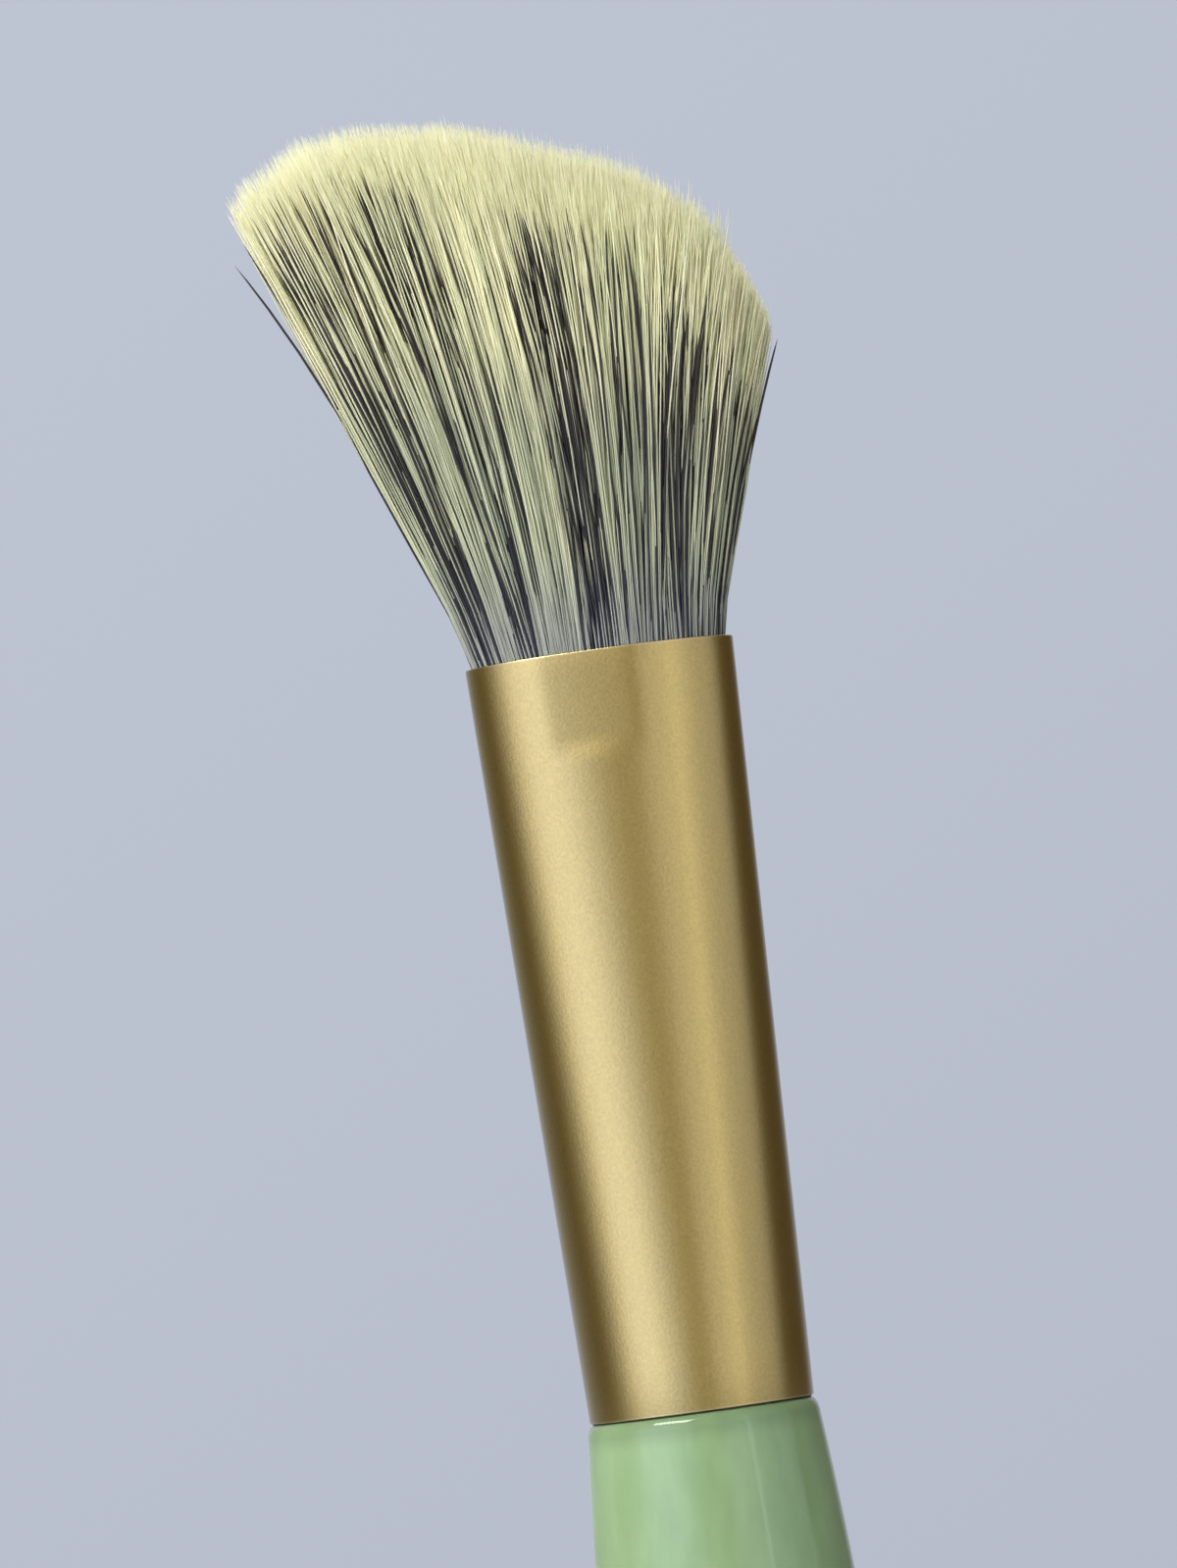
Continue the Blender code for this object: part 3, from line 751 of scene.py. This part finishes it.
def new_material(name):
    """A material, its tree and its Principled BSDF."""
    material = bpy.data.materials.new(name)
    material.use_nodes = True
    return material, material.node_tree, material.node_tree.nodes["Principled BSDF"]


def set_inputs(tree, node, values):
    """Gives a node's named or numbered inputs their values: a plain one, or an output to link."""
    for key, value in dict(values).items():
        if isinstance(value, bpy.types.NodeSocket):
            tree.links.new(value, node.inputs[key])
        else:
            node.inputs[key].default_value = value


def add_node(tree, kind, values=(), **settings):
    """A node with its settings and inputs."""
    node = tree.nodes.new(kind)
    for key, value in settings.items():
        setattr(node, key, value)
    set_inputs(tree, node, values)
    return node


def calculate(tree, operation, *values, clamped=False):
    """What a maths node makes of numbers and outputs."""
    node = add_node(tree, "ShaderNodeMath", enumerate(values), operation=operation, use_clamp=clamped)
    return node.outputs[0]


def map_range(tree, value, start, end, low=0.0, high=1.0, shape="LINEAR"):
    """A value carried over from one range to another, and held inside it."""
    values = {"Value": value, "From Min": start, "From Max": end, "To Min": low, "To Max": high}
    return add_node(tree, "ShaderNodeMapRange", values, interpolation_type=shape).outputs[0]


def mix_colours(tree, factor, first, second, blend="MIX"):
    """Two colours mixed by a factor."""
    values = {"Factor": factor, 6: first, 7: second}
    return add_node(tree, "ShaderNodeMix", values, data_type="RGBA", blend_type=blend).outputs[2]


def split_axes(tree, place):
    """The X, Y and Z of a place."""
    return add_node(tree, "ShaderNodeSeparateXYZ", {0: place}).outputs


def object_place(tree):
    """The shaded point in the piece's own space."""
    return add_node(tree, "ShaderNodeTexCoord").outputs["Object"]


def colour(values, times=1.0):
    """Red, green and blue as an opaque colour, each made this many times as strong, up to 1."""
    return (*np.minimum(np.array(values) * times, 1.0), 1.0)


def new_group(name, inputs, outputs):
    """A node group with inputs, as (name, type, default), and outputs, as (name, type), and its two ends."""
    group = bpy.data.node_groups.new(name, "ShaderNodeTree")
    for label, kind, default in inputs:
        socket = group.interface.new_socket(name=label, in_out="INPUT", socket_type=kind)
        socket.default_value = default
    for label, kind in outputs:
        group.interface.new_socket(name=label, in_out="OUTPUT", socket_type=kind)
    return group, group.nodes.new("NodeGroupInput").outputs, group.nodes.new("NodeGroupOutput")


def strand_tone_group():
    """Colour up a filament: root, body and tip, with a brightness of its own for each tone column."""
    name = "Strand tone"
    if name in bpy.data.node_groups:
        return bpy.data.node_groups[name]
    inputs = (
        ("Root", "NodeSocketColor", (0, 0, 0, 1)),
        ("Body", "NodeSocketColor", (0, 0, 0, 1)),
        ("Tip", "NodeSocketColor", (0, 0, 0, 1)),
        ("Root end", "NodeSocketFloat", 0.3),
        ("Tip start", "NodeSocketFloat", 0.42),
        ("Tip end", "NodeSocketFloat", 0.76),
        ("Spread", "NodeSocketFloat", 0.5),
    )
    group, given, made = new_group(name, inputs, (("Colour", "NodeSocketColor"),))
    axes = split_axes(group, add_node(group, "ShaderNodeUVMap", uv_map="OFBake").outputs["UV"])
    across, up = axes["X"], axes["Y"]
    rise = map_range(group, up, 0.0, given["Root end"], shape="SMOOTHSTEP")
    lower = mix_colours(group, rise, given["Root"], given["Body"])
    rise = map_range(group, up, given["Tip start"], given["Tip end"], shape="SMOOTHSTEP")
    upper = mix_colours(group, rise, lower, given["Tip"])
    off = calculate(group, "SUBTRACT", across, 0.5)
    # The tones differ less towards the tips
    fade = map_range(group, up, 0.4, 0.95, low=1.0, high=0.3)
    spread = calculate(group, "MULTIPLY", fade, given["Spread"])
    bright = calculate(group, "MULTIPLY_ADD", off, spread, 1.0)
    hue = calculate(group, "MULTIPLY_ADD", off, -0.05, 0.5)
    shade = add_node(group, "ShaderNodeHueSaturation", {"Hue": hue, "Value": bright, "Color": upper})
    set_inputs(group, made, {"Colour": shade.outputs[0]})
    return group


def grain_group():
    """A mask of stretched noise in object space, around one half, as fine as this many waves to a metre."""
    name = "Grain"
    if name in bpy.data.node_groups:
        return bpy.data.node_groups[name]
    inputs = (
        ("Across", "NodeSocketFloat", 1000.0),
        ("Along", "NodeSocketFloat", 1000.0),
        ("Detail", "NodeSocketFloat", 3.0),
        ("Contrast", "NodeSocketFloat", 1.0),
    )
    group, given, made = new_group(name, inputs, (("Mask", "NodeSocketFloat"),))
    fineness = {"X": given["Across"], "Y": given["Across"], "Z": given["Along"]}
    scale = add_node(group, "ShaderNodeCombineXYZ", fineness).outputs[0]
    values = {0: object_place(group), 1: scale}
    stretched = add_node(group, "ShaderNodeVectorMath", values, operation="MULTIPLY").outputs[0]
    values = {"Vector": stretched, "Scale": 1.0, "Detail": given["Detail"]}
    noise = add_node(group, "ShaderNodeTexNoise", values).outputs[0]
    off = calculate(group, "SUBTRACT", noise, 0.5)
    mask = calculate(group, "MULTIPLY_ADD", off, given["Contrast"], 0.5, clamped=True)
    set_inputs(group, made, {"Mask": mask})
    return group


def grain(tree, across, along, detail=3.0, contrast=1.0):
    """The mask of a Grain group with these values."""
    values = {"Across": across, "Along": along, "Detail": detail, "Contrast": contrast}
    return add_node(tree, "ShaderNodeGroup", values, node_tree=grain_group()).outputs[0]


def bump(tree, height, strength, distance):
    """A normal bent by a height."""
    values = {"Height": height, "Strength": strength, "Distance": distance}
    return add_node(tree, "ShaderNodeBump", values).outputs[0]


def vary(tree, mask, middle, swing):
    """A value that follows a mask to either side of its middle."""
    return map_range(tree, mask, 0.0, 1.0, middle - swing, middle + swing)


def filament_material(kind, settings, roughness):
    """Dyed filament of one kind, its colour running from root to tip."""
    material, tree, shader = new_material(f"{kind}_filament_dyed")
    dyes = {part: colour(getattr(settings, f"{kind}_{part.lower()}")) for part in ("Root", "Body", "Tip")}
    tone = add_node(tree, "ShaderNodeGroup", dyes, node_tree=strand_tone_group())
    set_inputs(tree, shader, {"Base Color": tone.outputs[0], "Roughness": roughness})
    return material


def jade_material(settings):
    """Milky jade acrylic: soft clouds drawn out along the handle under a polished skin."""
    material, tree, shader = new_material("jade_acrylic_polished")
    clouds = grain(tree, across=380.0, along=130.0, contrast=2.4)
    clouded = mix_colours(tree, clouds, colour(settings.jade), colour(settings.cloud))
    flecks = grain(tree, across=900.0, along=380.0, detail=4.0, contrast=1.6)
    flecked = mix_colours(tree, 0.16, clouded, flecks, "MULTIPLY")
    height = split_axes(tree, object_place(tree))["Z"]
    start, end = SHOULDER_TOP - SEAT_SHADE_DEPTH, SHOULDER_TOP - SHOULDER_DROP / 2
    near_seat = map_range(tree, height, start, end, high=SEAT_SHADE, shape="SMOOTHSTEP")
    shaded = mix_colours(tree, near_seat, flecked, colour(settings.jade, 0.4))
    ripple = grain(tree, across=330.0, along=90.0, detail=1.0)
    finish = {
        "Base Color": shaded,
        "Roughness": vary(tree, flecks, middle=settings.gloss, swing=0.03),
        "Normal": bump(tree, ripple, strength=0.05, distance=0.2 * MM),
        "IOR": 1.38,
        "Sheen Weight": 0.2,
        "Sheen Roughness": 0.3,
        "Subsurface Weight": 0.25,
        "Subsurface Radius": (0.8, 1.0, 0.6),
        "Subsurface Scale": 1.2 * MM,
    }
    set_inputs(tree, shader, finish)
    return material


def gold_material(settings):
    """Satin anodised aluminium: a fine blasted grain, a faint drawn streak and brighter cut lips."""
    material, tree, shader = new_material("gold_satin_anodised")
    blasted = grain(tree, across=7000.0, along=6000.0, contrast=2.2)
    streaks = grain(tree, across=1500.0, along=160.0)
    dull, bright = colour(settings.gold, (0.965, 0.96, 0.93)), colour(settings.gold, (1.03, 1.035, 1.06))
    streaked = mix_colours(tree, streaks, dull, bright)
    speckled = mix_colours(tree, 0.2, streaked, blasted, "MULTIPLY")
    height = split_axes(tree, object_place(tree))["Z"]
    above_middle = calculate(tree, "SUBTRACT", height, (FERRULE_LOW + FERRULE_HIGH) / 2)
    from_middle = calculate(tree, "ABSOLUTE", above_middle)
    end = FERRULE_LENGTH / 2
    at_lip = map_range(tree, from_middle, end - LIP_FADE_START, end - LIP_FADE_END)
    finish = {
        "Base Color": mix_colours(tree, at_lip, speckled, colour(LIP_COLOUR)),
        "Metallic": 1.0,
        "Roughness": vary(tree, streaks, middle=settings.satin, swing=0.012),
        "Normal": bump(tree, blasted, strength=0.22, distance=0.02 * MM),
        "Coat Weight": 1.0,
        "Coat Roughness": 0.28,
    }
    set_inputs(tree, shader, finish)
    return material


def set_material(name, tint, roughness, across, along, contrast, relief):
    """A set glue, epoxy or thread: one colour, clouded by grain."""
    material, tree, shader = new_material(name)
    mask = grain(tree, across, along, contrast=contrast)
    finish = {
        "Base Color": mix_colours(tree, mask, colour(tint, 0.8), colour(tint, 1.2)),
        "Roughness": roughness,
        "Normal": bump(tree, mask, strength=relief, distance=0.05 * MM),
    }
    set_inputs(tree, shader, finish)
    return material


# Studio


def aim(place, target):
    """The turn that points an object's -Z from its place to a target."""
    return (Vector(target) - Vector(place)).to_track_quat("-Z", "Y")


def add_lamp(
    name, azimuth, distance, height, width, length, radiance, tint, target_height, mirrored=False, spread=True
):
    """A rectangular softbox. Mirrors only see a mirrored one, and one that doesn't spread only sparkles."""
    turn = math.radians(azimuth)
    place = (distance * math.sin(turn), -distance * math.cos(turn), height)
    data = bpy.data.lights.new(name, "AREA")
    data.shape = "RECTANGLE"
    data.size, data.size_y = width, length
    data.energy = radiance * math.pi * width * length
    data.color = tint
    lamp = bpy.data.objects.new(name, data)
    lamp.location = place
    lamp.rotation_mode = "QUATERNION"
    lamp.rotation_quaternion = aim(place, (0, 0, target_height))
    lamp.visible_camera = False
    lamp.visible_glossy = mirrored
    lamp.visible_diffuse = spread
    bpy.context.scene.collection.objects.link(lamp)


def card_ramp(tree, way):
    """The colour of the cards that stand in this direction."""
    axes = split_axes(tree, way)
    ahead = calculate(tree, "MULTIPLY", axes["Y"], -1.0)
    azimuth = calculate(tree, "ARCTAN2", axes["X"], ahead)
    ramp = add_node(tree, "ShaderNodeValToRGB", {0: map_range(tree, azimuth, -math.pi, math.pi)})
    elements = ramp.color_ramp.elements
    for turn, _, _ in CARDS[1:-1]:
        elements.new((turn + 180) / 360)
    for element, (_, level, tint) in zip(elements, CARDS):
        element.color = colour([level * share / CARD_LEVEL for share in tint])
    return ramp.outputs[0]


def background(tree, tint, strength):
    """Light of one tint and strength from the world."""
    return add_node(tree, "ShaderNodeBackground", {"Color": tint, "Strength": strength}).outputs[0]


def mix_shaders(tree, factor, first, second):
    """Two shaders mixed by a factor."""
    return add_node(tree, "ShaderNodeMixShader", {0: factor, 1: first, 2: second}).outputs[0]


def studio_world(backdrop):
    """A pale backdrop for camera and glass rays, cards for mirror rays, and a soft fill for the rest."""
    world = bpy.data.worlds.new("studio")
    bpy.context.scene.world = world
    world.use_nodes = True
    tree = world.node_tree
    tree.nodes.clear()
    way = add_node(tree, "ShaderNodeTexCoord").outputs["Generated"]
    axes = split_axes(tree, way)
    # The paper is lit a little more at the top and on the left
    rise = map_range(tree, axes["Z"], -0.1, 0.13, low=0.955, high=1.035)
    side = map_range(tree, axes["X"], -0.08, 0.08, low=1.02, high=0.985)
    paper = background(tree, colour(backdrop), calculate(tree, "MULTIPLY", rise, side))
    # The cards end above and below the brush
    steepness = calculate(tree, "ABSOLUTE", axes["Z"])
    card_level = map_range(tree, steepness, 0.45, 0.8, low=CARD_LEVEL, high=CARD_END_SHARE * CARD_LEVEL)
    cards = background(tree, card_ramp(tree, way), card_level)
    right_and_up = calculate(tree, "MULTIPLY_ADD", axes["Z"], FILL_RISE, axes["X"])
    fill_level = map_range(tree, right_and_up, -1.0, 1.0, low=FILL_LEFT, high=FILL_RIGHT)
    fill = background(tree, colour(FILL_TINT), fill_level)
    rays = add_node(tree, "ShaderNodeLightPath").outputs
    lit = mix_shaders(tree, rays["Is Glossy Ray"], fill, cards)
    clear = calculate(tree, "MAXIMUM", rays["Is Camera Ray"], rays["Is Transmission Ray"])
    add_node(tree, "ShaderNodeOutputWorld", {"Surface": mix_shaders(tree, clear, lit, paper)})


def paper_floor(backdrop):
    """A pale floor under the butt that fades into the backdrop."""
    bm = bmesh.new()
    bmesh.ops.create_circle(bm, cap_ends=True, segments=96, radius=FLOOR_RADIUS)
    mesh = bpy.data.meshes.new("paper_floor")
    bm.to_mesh(mesh)
    bm.free()
    floor = bpy.data.objects.new("paper_floor", mesh)
    bpy.context.scene.collection.objects.link(floor)
    material, tree, shader = new_material("floor_paper")
    fibres = grain(tree, across=260.0, along=260.0, detail=4.0)
    place = object_place(tree)
    away = add_node(tree, "ShaderNodeVectorMath", {0: place}, operation="LENGTH").outputs["Value"]
    finish = {
        "Base Color": mix_colours(tree, fibres, colour(backdrop, 0.98), colour(backdrop, 1.02)),
        "Alpha": map_range(tree, away, FLOOR_FADE, FLOOR_RADIUS, low=1.0, high=0.0, shape="SMOOTHSTEP"),
        "Roughness": 0.9,
    }
    set_inputs(tree, shader, finish)
    mesh.materials.append(material)


def add_camera(settings):
    """The camera, rolled so that the brush leans to the left."""
    camera = bpy.data.objects.new("camera", bpy.data.cameras.new("camera"))
    bpy.context.scene.collection.objects.link(camera)
    bpy.context.scene.camera = camera
    place = Vector((CAMERA_ACROSS, -settings.distance, CAMERA_HEIGHT))
    target = Vector((CAMERA_ACROSS, 0, AIM_HEIGHT))
    back = (place - target).normalized()
    up = Vector((math.sin(settings.roll), 0, math.cos(settings.roll)))
    right = up.cross(back).normalized()
    up = back.cross(right)
    camera.matrix_world = Matrix.Translation(place) @ Matrix((right, up, back)).transposed().to_4x4()
    camera.data.lens = settings.lens
    camera.data.sensor_width = 36
    camera.data.clip_start = 0.01
    camera.data.clip_end = 20


# Operators


class BLUSHBRUSH_OT_handle(bpy.types.Operator):
    """Turn the jade handle and lay the bead of glue in its seat"""

    bl_idname = "blush_brush.handle"
    bl_label = "Handle"

    def execute(self, context):
        settings = context.scene.blush_handle
        handle = turned(handle_profile(), settings.steps)
        add_piece("jade_handle", handle, jade_material(settings), ["handle"])
        bead = turned(bead_profile(), settings.steps, ring=True)
        # The bead's near-black finish is partly painted shade in the seam
        add_piece("seat_glue_bead", bead, set_material(*BEAD_FINISH_WITH_SEAM_SHADE))
        return {"FINISHED"}


class BLUSHBRUSH_OT_ferrule(bpy.types.Operator):
    """Press the gold ferrule, with the flats that the jaws leave near its mouth"""

    bl_idname = "blush_brush.ferrule"
    bl_label = "Ferrule"

    def execute(self, context):
        settings = context.scene.blush_ferrule
        tube = pressed_tube(settings.steps)
        ferrule = add_piece("gold_ferrule", tube, gold_material(settings), ["ferrule"])
        wall = ferrule.modifiers.new("wall", "SOLIDIFY")
        wall.thickness = FERRULE_WALL
        wall.offset = -1
        wall.use_even_offset = True
        lips = ferrule.modifiers.new("lips", "BEVEL")
        lips.width = LIP_ROUNDING
        lips.segments = 3
        lips.limit_method = "ANGLE"
        lips.angle_limit = LIP_ANGLE
        return {"FINISHED"}


class BLUSHBRUSH_OT_filaments(bpy.types.Operator):
    """Grow the pale and dark filaments from their roots in the mouth"""

    bl_idname = "blush_brush.filaments"
    bl_label = "Filaments"

    def execute(self, context):
        head = context.scene.blush_head
        kinds = {
            "pale": (filament_material("pale", head, roughness=0.42), PALE_TAPER, head.pale_diameter),
            "dark": (filament_material("dark", head, roughness=0.34), DARK_TAPER, head.dark_diameter),
        }
        for name, kind, paths, tones, thickness in grow_head(head):
            material, taper, diameter = kinds[kind]
            mesh = tube_mesh(name, paths, np.outer(diameter * thickness, (taper[0], *taper)))
            map_tones(mesh, tones)
            seat_piece(name, mesh, material, [f"{kind}_filaments"])
        return {"FINISHED"}


class BLUSHBRUSH_OT_inner(bpy.types.Operator):
    """Finish the glue, epoxy and binding thread inside the ferrule"""

    bl_idname = "blush_brush.inner"
    bl_label = "Inner pieces"

    def execute(self, context):
        for name, finish in INNER_FINISHES.items():
            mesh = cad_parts[name].data
            mesh.materials.clear()
            mesh.materials.append(set_material(*finish))
        return {"FINISHED"}


class BLUSHBRUSH_OT_studio(bpy.types.Operator):
    """Set up the backdrop, the softboxes and the camera"""

    bl_idname = "blush_brush.studio"
    bl_label = "Studio"

    def execute(self, context):
        settings = context.scene.blush_studio
        studio_world(settings.backdrop)
        paper_floor(settings.backdrop)
        for softbox in SOFTBOXES:
            add_lamp(*softbox)
        add_lamp(*SPARK, mirrored=True, spread=False)
        add_lamp(*BACKLIGHT, mirrored=True)
        add_camera(settings)
        context.scene.view_settings.view_transform = "Standard"
        return {"FINISHED"}


class BLUSHBRUSH_PT_panel(bpy.types.Panel):
    """The brush's pieces and their settings"""

    bl_idname = "BLUSHBRUSH_PT_panel"
    bl_label = "Blush brush"
    bl_space_type = "VIEW_3D"
    bl_region_type = "UI"
    bl_category = "Blush brush"

    def draw(self, context):
        for operator, settings in PANEL_ROWS:
            box = self.layout.box()
            box.operator(operator.bl_idname)
            if settings:
                group = getattr(context.scene, settings)
                for label in group.bl_rna.properties.keys():
                    if label not in ("rna_type", "name"):
                        box.prop(group, label)


PANEL_ROWS = (
    (BLUSHBRUSH_OT_handle, "blush_handle"),
    (BLUSHBRUSH_OT_ferrule, "blush_ferrule"),
    (BLUSHBRUSH_OT_filaments, "blush_head"),
    (BLUSHBRUSH_OT_inner, None),
    (BLUSHBRUSH_OT_studio, "blush_studio"),
)
SETTINGS = {
    "blush_handle": HandleSettings,
    "blush_ferrule": FerruleSettings,
    "blush_head": HeadSettings,
    "blush_studio": StudioSettings,
}


def register():
    for name, kind in SETTINGS.items():
        bpy.utils.register_class(kind)
        setattr(bpy.types.Scene, name, bpy.props.PointerProperty(type=kind))
    for operator, _ in PANEL_ROWS:
        bpy.utils.register_class(operator)
    bpy.utils.register_class(BLUSHBRUSH_PT_panel)


def unregister():
    bpy.utils.unregister_class(BLUSHBRUSH_PT_panel)
    for operator, _ in reversed(PANEL_ROWS):
        bpy.utils.unregister_class(operator)
    for name, kind in SETTINGS.items():
        delattr(bpy.types.Scene, name)
        bpy.utils.unregister_class(kind)


def main():
    register()
    bpy.ops.blush_brush.handle()
    bpy.ops.blush_brush.ferrule()
    bpy.ops.blush_brush.filaments()
    bpy.ops.blush_brush.inner()
    bpy.ops.blush_brush.studio()


if __name__ == "__main__":
    main()
